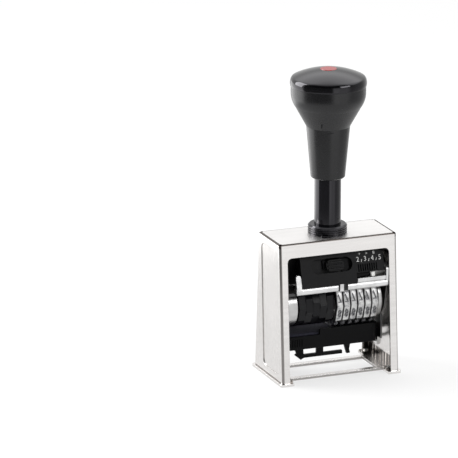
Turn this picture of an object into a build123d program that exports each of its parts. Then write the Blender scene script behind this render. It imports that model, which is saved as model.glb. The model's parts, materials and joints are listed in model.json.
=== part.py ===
# Self-inking numbering machine: a plunger handle drives a wheel carriage down inside a folded metal case,
# while cam slots swing the ink pad out of the way through the back window.
# Millimetres. Origin at the middle of the footprint on the desk, +X right, +Y back, +Z up.
import os
from math import asin, atan2, cos, degrees, hypot, pi, radians, sin, tan
from build123d import *

os.makedirs("parts", exist_ok=True)

# ---- clearances ----
run_gap = 0.3          # between pieces that move past each other
shaft_fit = 0.05       # radial, a shaft in its bore
seat_fit = 0.02        # radial, two pieces of one body
far = 100.0            # beyond the object, for cuts that run right through

# ---- main sizes, and the stroke that the height leaves ----
case_width = 60.0
case_height = 68.1     # top face of the case
type_radius = 12.5     # axle to the face of the raised digits
block_over_axle = 16.1
block_height = 9.0     # of the block under the stem
washer_thickness = 0.9
spigot_length = 7.3    # of the collar, inside the case
block_top = case_height - spigot_length - run_gap - washer_thickness
block_foot = block_top - block_height
axle_height = block_foot - block_over_axle
stroke = axle_height - type_radius

# ---- number wheels and what shares their axle ----
wheel_flat = 12.0      # axle to a flat of the wheel
wheel_sides = 10
wheel_count = 6
wheel_pitch = 3.6
wheel_rim = 2.9
ratchet_step = 0.4
ratchet_radius = 9.4
ratchet_depth = 1.5
axle_radius = 2.2
blank_count = 5
blank_radius = 10.4
blank_flat = 9.9
blank_gap = 0.08
blank_turn = 11        # degrees that each ring stands turned from the last
end_disc_radius = 10.9
end_disc_thickness = 2.92
hub_disc_radius = 10.0
hub_disc_thickness = 5.9
disc_chamfer = 0.7

# ---- case ----
top_depth = 26.0
foot_depth = 35.2
sheet = 1.0
side_bend = 1.3
top_bend = 0.7
window_side = 4.1      # border left beside the windows
window_head = 6.8      # border left above the windows
window_corner = 2.2
panel_press = 0.35     # shallow pressed panel on each side
panel_foot = 4.4
panel_head = 4.0
panel_front = 3.4
panel_back_foot = 6.2  # its rear edge at the foot and at the head
panel_back_head = 9.4
panel_corner = 3.0
relief_radius = 0.7    # corner relief where the folds meet
relief_inset = 0.9
seam_width = 0.3
seam_depth = 0.45
wall = case_width / 2 - sheet    # inner face of a side wall

# ---- base plate ----
base_width = case_width + 2.0
base_depth = foot_depth + 2.0
base_thickness = 1.2
base_corner = 1.2
notch_width = case_width - 11.4
notch_depth = 7.5
print_width = case_width - 15.4
print_depth = 16.2
foot_flange = 5.0      # inward flange of the case that the base is screwed to
base_screw_radius = 1.1
base_screw_head = 2.0
base_screw_head_height = 0.9
base_screw_sunk = 0.15
base_screw_end = 0.6

# ---- frame of the carriage, inwards from the case's side walls ----
rod_x = wall - 1.7
rod_y = 9.6
rod_radius = 0.85
cheek_inner = wall - 3.25
cheek_thickness = 1.1
cheek_outer = cheek_inner + cheek_thickness
cheek_front = 9.0
cheek_back = 7.6
cheek_foot = 8.0       # below the axle
cheek_chin = 3.0       # the slant of its front edge starts this far below the axle
cheek_corner = 4.0
arm_inner = cheek_inner - 1.13    # pad arms run between the end discs and the cheeks
arm_thickness = 0.8
block_front = 4.4
block_back = 9.6
block_roof = 2.0       # left above the hollows in the block's underside
skirt_sheet = 1.2      # web that hangs from the block's front, beside the wheels
skirt_drop = 5.0
ear_height = 6.0
ear_margin = 1.4       # round a guide rod
stem_boss_wall = 1.0
screw_radius = 1.0     # cheek screws, stem pin and tie rod
screw_seat_y = 3.0
screw_seat_wall = 1.2
screw_depth = 3.0
screw_head = 1.9
screw_head_height = 0.9
clip_radius = 3.6
clip_sheet = 0.6
clip_mouth = 2.4
axle_end = 0.8
pin_z = (block_foot + block_top) / 2

# ---- train along the axle, from the right-hand pad arm to the left ----
end_disc_right = arm_inner - run_gap
wheels_right = end_disc_right - end_disc_thickness - run_gap
wheels_left = wheels_right - (wheel_count - 1) * wheel_pitch - wheel_rim - ratchet_step
hub_disc_left = -arm_inner + run_gap
hub_disc_right = hub_disc_left + hub_disc_thickness

# ---- collar, stem and handle ----
collar_radius = 9.3
collar_height = 4.5
collar_chamfer = 0.7
spigot_radius = 7.5
nut_flats = 17.0
nut_height = 3.0
lug_width = 3.2
lug_reach = 1.6
lug_height = 0.9
lug_turn = 240
stem_radius = 6.3
stem_bore = 4.6
stem_crown = 6.0       # solid end of the stem under the handle's screw
stem_rise = 49.9       # of the stem above the case
stem_top = case_height + stem_rise
grip_lap = 22.65       # length of stem inside the grip
grip_foot = stem_top - grip_lap
grip_foot_radius = 8.15
grip_foot_chamfer = 0.4
taper_length = 24.85   # of the grip, up to the neck
neck_height = grip_foot + taper_length
neck_radius = 10.35
flare_length = 9.4     # from the neck to where the flare rounds over
flare_height = neck_height + flare_length
flare_radius = 15.55
shoulder_length = 6.8
shoulder_height = flare_height + shoulder_length
rim_length = 3.3
grip_top = shoulder_height + rim_length
grip_radius = 17.7
socket_radius = 14.5
socket_depth = 5.0
cap_radius = 18.1
cap_rim = 2.4
cap_ring_radius = 16.8
cap_ring_rise = 4.3
cap_rise = 8.1
cap_seat = 0.3         # left between the cap's plug and the socket's floor
inlay_radius = 3.9
inlay_depth = 0.8
inlay_chamfer = 0.2
handle_screw_radius = 2.0
handle_screw_head = 3.2
handle_screw_head_height = 1.8
thumb_mark_width = 8.4 # L-shaped groove round a small raised plate, on the neck
thumb_mark_height = 5.0
thumb_mark_groove = 0.5
thumb_mark_floor = 10.1
thumb_mark_turn = -18.0
thumb_mark_z = neck_height + 1.0

# ---- guides and springs ----
shelf_height = 19.0
shelf_thickness = 1.2
shelf_reach = 1.6
spring_radius = 1.25
spring_wire = 0.22
spring_turns = 9
bracket_sheet = 0.9
bracket_front = 4.2
bracket_height = 11.0
bracket_foot = shelf_height - bracket_height
rivet_radius = 0.8
rivet_head = 1.4
rivet_head_height = 0.6
rivet_y = 6.4
rivet_drop = 3.0       # of the upper rivet below the shelf
rivet_pitch = 6.1
rivet_heights = (shelf_height - rivet_drop - rivet_pitch, shelf_height - rivet_drop)

# ---- ink pad ----
pad_gap = 0.32         # wheel corner to the felt
pad_thickness = 3.4
pad_fit = 0.1
tray_wall = 1.2
tray_radius = 22.0     # axle to the tray's rounded underside
tray_front = 8.2
tray_lip_drop = 11.3   # axle to the tray's long edges
tray_lip = axle_height - tray_lip_drop
tray_left = -(arm_inner - 0.72)
tray_right = arm_inner - 2.02
tray_corner = 2.0
tray_step_x = tray_left + 16.9    # the front edge is lower left of here
tray_step_drop = 2.8
tray_step_z = tray_lip - tray_step_drop
tray_lug_half = 4.0    # lugs on the tray's ends, in from which the arms stand
tray_lug_drop = 4.2
tray_lug_height = 6.0
tray_lug_high = tray_lip - tray_lug_drop
tray_lug_low = tray_lug_high - tray_lug_height
rib_count = 5          # finger ribs on the tray's front, at its left end
rib_inset = 3.0
rib_pitch = 1.2
rib_width = 0.6
rib_rise = 0.45
rib_height = 3.4
rib_high = tray_lug_high
rib_low = rib_high - rib_height
arm_hub_radius = 5.4
cam_pin_radius = 1.0
cam_pin_head = 1.7
cam_pin_head_height = 1.6
cam_pin_y = 13.4
cam_pin_z = 12.4
cam_slot_radius = 1.3
cam_rim = 1.6
web_foot_front = -7.6  # the arm's web where it meets the tray
web_foot_back = 4.0
web_foot_rise = 1.5
pull_thickness = 1.5   # the wire-cut pull under the tray
pull_left = tray_left + 6.7
pull_right = tray_right - 10.4
pull_drop = 6.1        # of the pull below the tray
pull_low = axle_height - tray_radius - pull_drop

# ---- selector, in the thumb pocket of the cover ----
selector_left = 2 * wheel_pitch   # travel from the rest place
selector_right = wheel_pitch
button_width = 9.0
button_height = 5.2
button_x = wheels_left - 0.5
button_corner = 2.2
button_proud = 0.3
button_ridges = 3
ridge_pitch = 1.55
ridge_inset = 0.7
ridge_height = 0.6
strip_sheet = 0.8
strip_half = 2.0
pointer_width = 1.7
pointer_drop = 2.6     # below the foot of the block
pointer_low = block_foot - pointer_drop

# ---- front cover ----
cover_tilt = 17.0      # from upright
cover_foot_y = -13.75
cover_sheet = 1.4
cover_roof = 1.2
cover_top = block_top + 0.8
cover_left = -(arm_inner - 6.42)
cover_right = arm_inner - 0.22
pocket_left = cover_left + 5.3
pocket_right = button_x + button_width / 2 + selector_right + 0.8
pocket_height = 6.6
pocket_low_z = block_foot + 1.0
pocket_high_z = pocket_low_z + pocket_height
pocket_mid_z = (pocket_low_z + pocket_high_z) / 2
pocket_back = 0.6      # thin wall behind the selector's strip, down past the pocket's lower edge
pocket_back_drop = 1.8
cover_step_x = pocket_right + 1.7
cover_step_z = block_foot - 0.4
comb_slots = 9
comb_pitch = 1.15
comb_width = 0.5
comb_height = 3.4
comb_x = cover_step_x + 1.0
comb_z = block_foot
pointer_x = comb_x + 7.4

# ---- frame bar ----
bar_left = -(cheek_inner - 4.35)
bar_right = cheek_inner - 0.35
bar_over_axle = 7.8
bar_foot = axle_height + bar_over_axle
bar_height = 3.6
bar_top = bar_foot + bar_height
bar_front = -14.1
bar_depth = 2.6
bar_back = bar_front + bar_depth
bar_round = 1.5
fork_left = wheels_left + 0.2
fork_width = 4.9
tooth_left = 1.0       # inside the fork gap
tooth_width = 1.9
tooth_inset = 0.5
flange_height = 1.8
flange_inset = 0.6
tab_sheet = 1.2        # leaves by which the bar meets the cheeks
ear_depth = 2.4
ear_width = 2.6        # of the sloping ear beside the cover's left edge
bar_ear_top = bar_top + 6.0
cover_foot = bar_top + seat_fit

# ---- detent leaves behind the bar ----
leaf_sheet = 0.4
leaf_strip = 1.5
leaf_inset = 0.5

# ---- advance pawls ----
pawl_pivot_y = 6.0
pawl_over_axle = 13.6
pawl_pivot_z = axle_height + pawl_over_axle
pawl_tip_y = 9.7       # the tips hang just clear of the wheels' corners
pawl_reach = 4.0       # height of the pivot above the tips
pawl_tip_z = pawl_pivot_z - pawl_reach
pawl_sleeve = 1.65
pawl_sheet = 0.9
pawl_width = 2.3
pawl_nose = 0.6

wheel_corner = wheel_flat / cos(pi / wheel_sides)
pad_face = axle_height - wheel_corner - pad_gap
pad_floor = pad_face - pad_thickness


def save(shape, name):
    shape.label = name
    export_step(shape, f"parts/{name}.step")


def box(x0, x1, y0, y1, z0, z1):
    return Pos((x0 + x1) / 2, (y0 + y1) / 2, (z0 + z1) / 2) * Box(x1 - x0, y1 - y0, z1 - z0)


def rod_x_axis(x0, x1, y, z, radius):
    """A round bar along X."""
    return Pos((x0 + x1) / 2, y, z) * Rot(0, 90, 0) * Cylinder(radius, x1 - x0)


def bore_x_axis(y, z, radius):
    """A hole through everything along X."""
    return rod_x_axis(-far, far, y, z, radius)


def rod_z_axis(x, y, z0, z1, radius):
    return Pos(x, y, (z0 + z1) / 2) * Cylinder(radius, z1 - z0)


def on_side(shape, side):
    """The right-hand piece, or its mirror image on the left."""
    return mirror(shape, Plane.YZ) if side < 0 else shape


def turned(*outline):
    """A solid of revolution about Z, from an outline drawn as radius and height."""
    edges = [edge for piece in outline for edge in piece.edges()]
    return revolve(Plane.XZ * make_face(edges), Axis.Z)


def side_plate(points, x0, x1):
    """A flat plate whose outline lies in the YZ plane, from x0 to x1."""
    face = make_face(Polyline(*[(x0, y, z) for y, z in points], close=True))
    return extrude(face, amount=x1 - x0, dir=(1, 0, 0))


def front_y(z):
    """Outer face of the case at height z, as a positive distance from the middle."""
    return foot_depth / 2 - (foot_depth - top_depth) / 2 * z / case_height


screw_x = wall - foot_flange / 2
screw_y = front_y(base_thickness) - sheet - foot_flange / 2
base_screw_places = [(x, y) for x in (-screw_x, screw_x) for y in (-screw_y, screw_y)]


# ---- case ----
def make_case():
    half = case_width / 2
    outer = side_plate([(-front_y(0), 0), (front_y(0), 0), (front_y(case_height), case_height),
                        (-front_y(case_height), case_height)], -half, half)
    outer = outer - box(-far, far, -far, far, -1, base_thickness)
    upright = [e for e in outer.edges()
               if abs(abs(e.center().X) - half) < 0.01 and e.length > case_height * 0.9]
    outer = fillet(upright, side_bend)
    top_long = [e for e in outer.edges()
                if abs(e.center().Z - case_height) < 0.01 and abs(e.center().X) < 0.1]
    outer = fillet(top_long, top_bend)
    inner_points = [(-front_y(0) + sheet, 0), (front_y(0) - sheet, 0),
                    (front_y(case_height) - sheet, case_height - sheet),
                    (-front_y(case_height) + sheet, case_height - sheet)]
    shell = outer - side_plate(inner_points, -wall, wall)
    # front and back windows, open down to the base
    opening = Rectangle(case_width - 2 * window_side, (case_height - window_head) * 2)
    opening = fillet(opening.vertices(), window_corner)
    shell = shell - extrude(Plane.XZ * opening, amount=foot_depth, both=True)
    shell = shell - Pos(-half, 0, 0) * pressed_panel() - Pos(half - panel_press, 0, 0) * pressed_panel()
    # folded seams along the top edges and the reliefs in the corners
    for side in (-1, 1):
        seam_x = side * wall
        shell = shell - box(seam_x - seam_width / 2, seam_x + seam_width / 2, -far, far,
                            case_height - seam_depth, case_height + 1)
        for face in (-1, 1):
            corner = (side * (half - relief_inset), face * (front_y(case_height) - relief_inset), case_height)
            shell = shell - Pos(*corner) * Cylinder(relief_radius, 3 * sheet)
    shell = shell + case_flanges()
    return shell - rod_z_axis(0, 0, case_height - 2 * sheet, case_height + sheet, spigot_radius + seat_fit)


def pressed_panel():
    """The shallow sunk field in a side wall, as a cutter that starts at x = 0."""
    low, high = panel_foot, case_height - panel_head
    outline = Polyline((0, -front_y(low) + panel_front, low), (0, panel_back_foot, low),
                       (0, panel_back_head, high), (0, -front_y(high) + panel_front, high), close=True)
    panel = fillet(make_face(outline).vertices(), panel_corner)
    return extrude(panel, amount=panel_press, dir=(1, 0, 0))


def case_flanges():
    """Four inward flanges at the foot of the case that take the base screws."""
    flanges = []
    for x, y in base_screw_places:
        reach = foot_flange / 2
        flange = box(x - reach, x + reach, y - reach, y + reach, base_thickness, base_thickness + sheet)
        flanges.append(flange - rod_z_axis(x, y, 0, 3 * sheet, base_screw_radius + seat_fit))
    return flanges


def make_base():
    plate = Rectangle(base_width, base_depth)
    plate = fillet(plate.vertices(), base_corner)
    for side in (-1, 1):
        plate = plate - Pos(0, side * base_depth / 2) * Rectangle(notch_width, 2 * notch_depth)
    solid = extrude(plate - Rectangle(print_width, print_depth), amount=base_thickness)
    for x, y in base_screw_places:
        solid = solid - rod_z_axis(x, y, -1, base_thickness + 1, base_screw_radius + seat_fit)
        solid = solid - rod_z_axis(x, y, -1, base_screw_head_height, base_screw_head + seat_fit)
    return solid


def make_base_screws():
    screws = []
    for x, y in base_screw_places:
        head = rod_z_axis(x, y, base_screw_sunk, base_screw_head_height, base_screw_head)
        end = base_thickness + sheet + base_screw_end
        screws.append(head + rod_z_axis(x, y, base_screw_head_height, end, base_screw_radius))
    return Compound(screws)


def make_collar():
    foot = case_height
    collar = rod_z_axis(0, 0, foot, foot + collar_height, collar_radius)
    collar = chamfer(collar.edges().sort_by(Axis.Z)[-1], collar_chamfer)
    collar = collar + rod_z_axis(0, 0, foot - spigot_length, foot, spigot_radius)
    lug = box(0, collar_radius + lug_reach, -lug_width / 2, lug_width / 2, foot, foot + lug_height)
    collar = collar + Rot(0, 0, lug_turn) * lug
    return collar - rod_z_axis(0, 0, 0, far, stem_radius + shaft_fit)


def make_collar_nut():
    hexagon = RegularPolygon(nut_flats / 2, 6, major_radius=False)
    nut = extrude(Pos(0, 0, case_height - sheet - nut_height) * hexagon, nut_height)
    return nut - rod_z_axis(0, 0, 0, far, spigot_radius + seat_fit)


# ---- guides and springs ----
def make_bracket(side):
    """A pressed angle on the side wall: an upright leaf, and a shelf that holds the guide rod's foot."""
    leaf = box(wall - bracket_sheet, wall, bracket_front, rod_y + shelf_reach, bracket_foot, shelf_height)
    shelf = box(rod_x - shelf_reach, wall, rod_y - shelf_reach, rod_y + shelf_reach,
                shelf_height - shelf_thickness, shelf_height)
    bracket = leaf + shelf - rod_z_axis(rod_x, rod_y, 0, far, rod_radius + seat_fit)
    for z in rivet_heights:
        bracket = bracket - bore_x_axis(rivet_y, z, rivet_radius + seat_fit)
    return on_side(bracket, side)


def make_bracket_rivets():
    face = wall - bracket_sheet
    rivets = []
    for side in (-1, 1):
        for z in rivet_heights:
            rivet = rod_x_axis(face, wall, rivet_y, z, rivet_radius)
            rivet = rivet + rod_x_axis(face - rivet_head_height, face, rivet_y, z, rivet_head)
            rivets.append(on_side(rivet, side))
    return Compound(rivets)


def make_guide_rods():
    foot = shelf_height - shelf_thickness - rod_radius
    return Compound([rod_z_axis(x, rod_y, foot, case_height - sheet, rod_radius) for x in (-rod_x, rod_x)])


def make_return_springs():
    length = block_foot - shelf_height - 2 * run_gap - 2 * spring_wire
    path = Helix(length / spring_turns, length, spring_radius)
    wire = Plane(path @ 0, z_dir=path % 0) * RegularPolygon(spring_wire, 4)
    coil = sweep(wire, path=path, is_frenet=True)
    start = shelf_height + run_gap + spring_wire
    return Compound([Pos(x, rod_y, start) * coil for x in (-rod_x, rod_x)])


def make_cam_pins():
    """Fixed pins on the side walls that run in the slots of the pad arms."""
    pins = []
    for side in (-1, 1):
        pin = rod_x_axis(arm_inner + pad_fit, wall, cam_pin_y, cam_pin_z, cam_pin_radius)
        pin = pin + rod_x_axis(wall - cam_pin_head_height, wall, cam_pin_y, cam_pin_z, cam_pin_head)
        pins.append(on_side(pin, side))
    return Compound(pins)


# ---- handle ----
def make_stem():
    stem = rod_z_axis(0, 0, block_foot, stem_top, stem_radius)
    stem = stem - rod_z_axis(0, 0, 0, stem_top - stem_crown, stem_bore)
    stem = stem - rod_z_axis(0, 0, 0, stem_top + 1, handle_screw_radius + seat_fit)
    return stem - bore_x_axis(0, pin_z, screw_radius + seat_fit)


def make_grip():
    """The waisted handle: a slow taper, a flare and a rounded shoulder, with a socket for the cap."""
    socket_floor = grip_top - socket_depth
    socket = socket_radius + seat_fit
    taper = Polyline((0, grip_foot), (grip_foot_radius - grip_foot_chamfer, grip_foot),
                     (grip_foot_radius, grip_foot + grip_foot_chamfer), (neck_radius, neck_height),
                     (flare_radius, flare_height))
    rise, run = shoulder_height - flare_height, grip_radius - flare_radius
    bend = (rise ** 2 + run ** 2) / (2 * run)
    halfway = asin(rise / bend) / 2
    middle = (grip_radius - bend + bend * cos(halfway), shoulder_height - bend * sin(halfway))
    shoulder = ThreePointArc((flare_radius, flare_height), middle, (grip_radius, shoulder_height))
    head = Polyline((grip_radius, shoulder_height), (grip_radius, grip_top), (socket, grip_top),
                    (socket, socket_floor), (0, socket_floor), (0, grip_foot))
    grip = turned(taper, shoulder, head)
    grip = grip - rod_z_axis(0, 0, 0, stem_top, stem_radius + seat_fit)
    grip = grip - rod_z_axis(0, 0, 0, grip_top, handle_screw_radius + seat_fit)
    half_w, half_h = thumb_mark_width / 2, thumb_mark_height / 2
    mark = box(-half_w, half_w, -far, -thumb_mark_floor, thumb_mark_z - half_h, thumb_mark_z + half_h)
    raised = box(-half_w + thumb_mark_groove, half_w, -far, -thumb_mark_floor,
                 thumb_mark_z - half_h + thumb_mark_groove, thumb_mark_z + half_h)
    return grip - Rot(0, 0, thumb_mark_turn) * (mark - raised)


def dome_drop(radius):
    """Fall of the cap's dome below its middle at a distance from the axis."""
    crown = cap_rise - cap_ring_rise
    ball = (cap_ring_radius ** 2 + crown ** 2) / (2 * crown)
    return ball - (ball ** 2 - radius ** 2) ** 0.5


def make_knob_cap():
    foot = grip_top
    middle, ring, rim = foot + cap_rise, foot + cap_ring_rise, foot + cap_rim
    plug_foot = foot - socket_depth + cap_seat
    dome = ThreePointArc((0, middle), (cap_ring_radius / 2, middle - dome_drop(cap_ring_radius / 2)),
                         (cap_ring_radius, ring))
    shoulder = ThreePointArc((cap_ring_radius, ring), (cap_radius - 0.3, (ring + rim) / 2), (cap_radius, rim))
    rest = Polyline((cap_radius, rim), (cap_radius, foot), (socket_radius, foot), (socket_radius, plug_foot),
                    (0, plug_foot), (0, middle))
    cap = turned(dome, shoulder, rest)
    cap = cap - rod_z_axis(0, 0, middle - inlay_depth, middle + 1, inlay_radius + seat_fit)
    screw_room = foot - socket_depth + handle_screw_head_height + run_gap
    return cap - rod_z_axis(0, 0, plug_foot - 1, screw_room, handle_screw_head + run_gap)


def make_knob_inlay():
    """A plain coloured disc, let into the middle of the dome."""
    top = grip_top + cap_rise
    disc = rod_z_axis(0, 0, top - inlay_depth, top, inlay_radius)
    return chamfer(disc.edges().sort_by(Axis.Z)[-1], inlay_chamfer)


def make_handle_screw():
    seat = grip_top - socket_depth
    shank = rod_z_axis(0, 0, stem_top - stem_crown, seat, handle_screw_radius)
    return shank + rod_z_axis(0, 0, seat, seat + handle_screw_head_height, handle_screw_head)


# ---- carriage ----
def make_block():
    """The block under the stem: hollow each side of the boss, with an ear on each guide rod."""
    half = cheek_inner - seat_fit
    block = box(-half, half, -block_front, block_back, block_foot, block_top)
    ear, reach = rod_x + ear_margin, shelf_reach
    block = block + box(-ear, ear, rod_y - reach, rod_y + reach, block_foot, block_foot + ear_height)
    block = block + rod_z_axis(0, 0, block_foot, block_top, stem_radius + stem_boss_wall)
    block = block + box(-half, wheels_left - 1, -block_front, skirt_sheet - block_front,
                        block_foot - skirt_drop, block_foot)
    for side in (-1, 1):
        hollow = box(stem_radius + 2 * block_roof, cheek_inner - block_roof, 0, block_back - block_roof,
                     block_foot - 1, block_top - block_roof)
        block = block - on_side(hollow, side)
        block = block - rod_z_axis(side * rod_x, rod_y, 0, far, rod_radius + shaft_fit)
        seat_end = cheek_inner - screw_depth - run_gap
        seat = rod_x_axis(stem_radius, seat_end, screw_seat_y, pin_z, screw_seat_wall)
        block = block + on_side(seat, side)
        tapped = rod_x_axis(cheek_inner - screw_depth, far, screw_seat_y, pin_z, screw_radius + seat_fit)
        block = block - on_side(tapped, side)
    block = block - rod_z_axis(0, 0, 0, far, stem_radius + seat_fit)
    pin_end = stem_radius + stem_boss_wall + 2 * screw_radius
    return block - rod_x_axis(-pin_end, pin_end, 0, pin_z, screw_radius + seat_fit)


def make_stem_pin():
    end = stem_radius + stem_boss_wall + screw_radius
    return rod_x_axis(-end, end, 0, pin_z, screw_radius)


def make_stop_washer():
    washer = rod_z_axis(0, 0, block_top, block_top + washer_thickness, stem_radius + stem_boss_wall)
    return washer - rod_z_axis(0, 0, 0, far, stem_radius + seat_fit)


def make_cheek(side):
    foot, head = axle_height - cheek_foot, block_top - 1
    points = [(-cheek_front, axle_height - cheek_chin), (cheek_corner - cheek_front, foot),
              (cheek_back - cheek_corner, foot), (cheek_back, axle_height - cheek_corner),
              (cheek_back, head), (-block_front, head),
              (bar_back, bar_ear_top + 0.5), (bar_back, bar_foot)]
    cheek = side_plate(points, cheek_inner, cheek_outer)
    cheek = cheek - bore_x_axis(0, axle_height, axle_radius + seat_fit)
    for y, z in ((pawl_pivot_y, pawl_pivot_z), (screw_seat_y, pin_z)):
        cheek = cheek - bore_x_axis(y, z, screw_radius + seat_fit)
    return on_side(cheek, side)


def make_cheek_screws():
    screws = []
    for side in (-1, 1):
        screw = rod_x_axis(cheek_inner - screw_depth, cheek_outer, screw_seat_y, pin_z, screw_radius)
        head = rod_x_axis(cheek_outer, cheek_outer + screw_head_height, screw_seat_y, pin_z, screw_head)
        screws.append(on_side(screw + head, side))
    return Compound(screws)


def make_tie_rod():
    return rod_x_axis(-cheek_outer, cheek_outer, pawl_pivot_y, pawl_pivot_z, screw_radius)


def make_axle():
    end = cheek_outer + axle_end
    return rod_x_axis(-end, end, 0, axle_height, axle_radius)


def make_axle_clips():
    clips = []
    for side in (-1, 1):
        clip = rod_x_axis(cheek_outer, cheek_outer + clip_sheet, 0, axle_height, clip_radius)
        clip = clip - bore_x_axis(0, axle_height, axle_radius + seat_fit)
        clip = clip - box(0, far, -clip_mouth / 2, clip_mouth / 2, 0, axle_height)
        clips.append(on_side(clip, side))
    return Compound(clips)


# ---- number wheels and what shares their axle ----
def wheel_plate(x0, x1, flat, turn=0.0):
    """A ten-sided plate on the axle line, flat side down when turn is 0."""
    ring = RegularPolygon(flat, wheel_sides, major_radius=False, rotation=180 / wheel_sides)
    outline = Rot(0, 0, turn) * ring
    plate = extrude(outline, amount=x1 - x0)
    return Pos(x0, 0, axle_height) * Rot(0, 90, 0) * plate


def make_number_wheel(index):
    """A ten-sided type wheel, with a ratchet of ten teeth standing out on its left."""
    left = wheels_left + index * wheel_pitch
    rim_left = left + ratchet_step
    wheel = wheel_plate(rim_left, rim_left + wheel_rim, wheel_flat)
    teeth = []
    for i in range(wheel_sides):
        low, high = 2 * pi * i / wheel_sides, 2 * pi * (i + 1) / wheel_sides
        root = ratchet_radius - ratchet_depth
        teeth += [(root * cos(low), root * sin(low)), (ratchet_radius * cos(high), ratchet_radius * sin(high))]
    outline = make_face(Polyline(*teeth, close=True))
    wheel = wheel + Pos(left, 0, axle_height) * Rot(0, 90, 0) * extrude(outline, amount=ratchet_step)
    return wheel - bore_x_axis(0, axle_height, axle_radius + shaft_fit)


def make_end_disc(x0, x1, radius):
    disc = rod_x_axis(x0, x1, 0, axle_height, radius)
    disc = chamfer([e for e in disc.edges() if e.geom_type == GeomType.CIRCLE], disc_chamfer)
    return disc - bore_x_axis(0, axle_height, axle_radius + seat_fit)


def make_blank_rings():
    """Plain rings that fill the axle where there are no wheels, each turned a little from the last."""
    start = hub_disc_right + pad_fit
    pitch = (wheels_left - run_gap - start) / blank_count
    rings = []
    for i in range(blank_count):
        x0, x1 = start + i * pitch, start + (i + 1) * pitch - blank_gap
        ring = wheel_plate(x0, x1, blank_flat, turn=i * blank_turn % (360 / wheel_sides))
        ring = ring & rod_x_axis(x0, x1, 0, axle_height, blank_radius)
        rings.append(ring - bore_x_axis(0, axle_height, axle_radius + seat_fit))
    return Compound(rings)


# ---- front of the carriage ----
def make_frame_bar():
    """The bright bar across the front, with its fork gap, raised flange and upright ears."""
    bar = box(bar_left, bar_right, bar_front, bar_back, bar_foot, bar_top)
    bar = fillet(bar.edges().filter_by(Axis.X).sort_by(Axis.Y)[:2], bar_round)
    right_tab = box(bar_right - 1, cheek_inner, bar_back - tab_sheet, bar_back, bar_foot, bar_top)
    left_tab = box(-cheek_inner, bar_left + 1, bar_back - tab_sheet, bar_back, bar_foot, bar_foot + tab_sheet)
    ear_right = cover_left - run_gap
    left_ear = slope_box(ear_right - ear_width, ear_right, 0, tab_sheet, bar_top - 1, bar_ear_top)
    left_ear = fillet(left_ear.edges().filter_by(lambda e: abs(e.tangent_at(0.5).X) < 0.1
                                                 and e.length < 2 * tab_sheet).sort_by(Axis.Z)[-2:], tab_sheet)
    flange = box(cover_step_x + run_gap, bar_right, bar_front + flange_inset, bar_back, bar_top,
                 bar_top + flange_height)
    flange = fillet(flange.edges().filter_by(Axis.X).sort_by(Axis.Z)[-1], flange_inset)
    ear = box(cheek_inner - tab_sheet, cheek_inner, bar_back - ear_depth, bar_back, bar_foot + 1, bar_ear_top)
    ear = fillet(ear.edges().filter_by(Axis.X).sort_by(Axis.Z)[-2:], ear_depth / 2 - 0.1)
    bar = bar + right_tab + left_tab + left_ear + flange + ear
    fork = box(fork_left, fork_left + fork_width, -far, bar_back - 1, bar_foot - 1, bar_top + 1)
    tooth_x = fork_left + tooth_left
    tooth = box(tooth_x, tooth_x + tooth_width, bar_front + tooth_inset, bar_back, bar_foot, bar_top)
    return bar - fork + tooth


def cover_y(z):
    """Outer face of the sloping front cover at height z."""
    return cover_foot_y + (z - cover_foot) * tan(radians(cover_tilt))


def make_front_cover():
    """A moulded hood: a sloping front wall with the thumb pocket, a roof lip and two side walls."""
    wall_y = cover_sheet / cos(radians(cover_tilt))
    roof_z = cover_top - cover_roof
    outline = [(cover_y(cover_foot), cover_foot), (cover_y(cover_top), cover_top),
               (-block_front - seat_fit, cover_top), (-block_front - seat_fit, block_foot + 1.5),
               (bar_back + tab_sheet, cover_foot)]
    inside = [(cover_y(cover_foot - 1) + wall_y, cover_foot - 1), (cover_y(roof_z) + wall_y, roof_z),
              (far, roof_z), (far, cover_foot - 1)]
    hood = side_plate(outline, cover_left, cover_right)
    hood = hood - side_plate(inside, cover_left + cover_sheet, cover_right - cover_sheet)
    depth = cover_sheet + strip_sheet + 2 * run_gap
    hood = hood + slope_box(pocket_left - 1, pocket_right + 1, depth, depth + pocket_back,
                            pocket_low_z - pocket_back_drop, roof_z)
    # the right part stops above the bar's flange
    hood = hood - box(cover_step_x, far, -far, far, 0, cover_step_z)
    hood = hood - rod_z_axis(0, 0, 0, far, stem_radius + stem_boss_wall + seat_fit)
    # oval thumb pocket, through the sloping wall
    tilt = radians(cover_tilt)
    slope = Plane(origin=(0, cover_foot_y, cover_foot), x_dir=(1, 0, 0), z_dir=(0, -cos(tilt), sin(tilt)))
    slot = SlotOverall(pocket_right - pocket_left, (pocket_high_z - pocket_low_z) / cos(tilt))
    slot = Pos((pocket_left + pocket_right) / 2, (pocket_mid_z - cover_foot) / cos(tilt)) * slot
    hood = hood - extrude(slope * slot, amount=cover_sheet + run_gap, both=True)
    # comb of narrow slots under the scale
    for i in range(comb_slots):
        x = comb_x + i * comb_pitch
        hood = hood - box(x, x + comb_width, -far, cover_y(comb_z) + 3 * cover_sheet,
                          comb_z, comb_z + comb_height)
    return hood


def slope_box(x0, x1, depth0, depth1, z0, z1):
    """A block between two heights, lying parallel to the sloping cover, depth counted inwards from its face."""
    tilt = radians(cover_tilt)
    corners = ((z0, depth0), (z1, depth0), (z1, depth1), (z0, depth1))
    return side_plate([(cover_y(z) + depth / cos(tilt), z) for z, depth in corners], x0, x1)


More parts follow.
